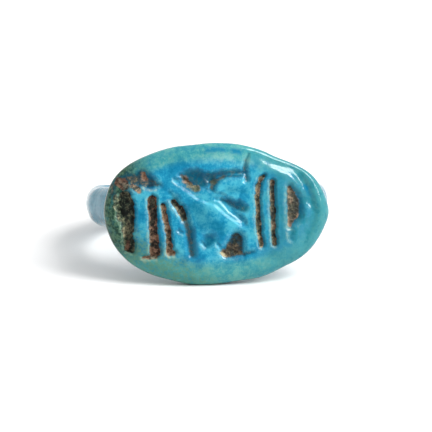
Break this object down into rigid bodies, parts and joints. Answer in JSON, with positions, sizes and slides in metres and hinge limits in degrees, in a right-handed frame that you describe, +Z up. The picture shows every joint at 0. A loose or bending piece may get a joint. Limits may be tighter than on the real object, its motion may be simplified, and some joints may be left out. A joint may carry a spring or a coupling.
{
  "type": "faience ring",
  "caption": "Finger ring of glazed faience, with a round hoop and a bent oval bezel whose face carries sunk strokes, lying on its side.",
  "frame": {"origin": "on the floor below the middle of the ring's box, as it lies", "axes": "+X along the bezel's length, +Y from the bezel towards the back of the hoop, +Z up"},
  "size_m": [0.022, 0.0238, 0.0124],
  "materials": {
    "glaze": "glossy turquoise and blue-green glaze, with brown deposit in the strokes"
  },
  "bodies": {
    "root": {"faience_ring": "glaze"}
  },
  "joints": []
}
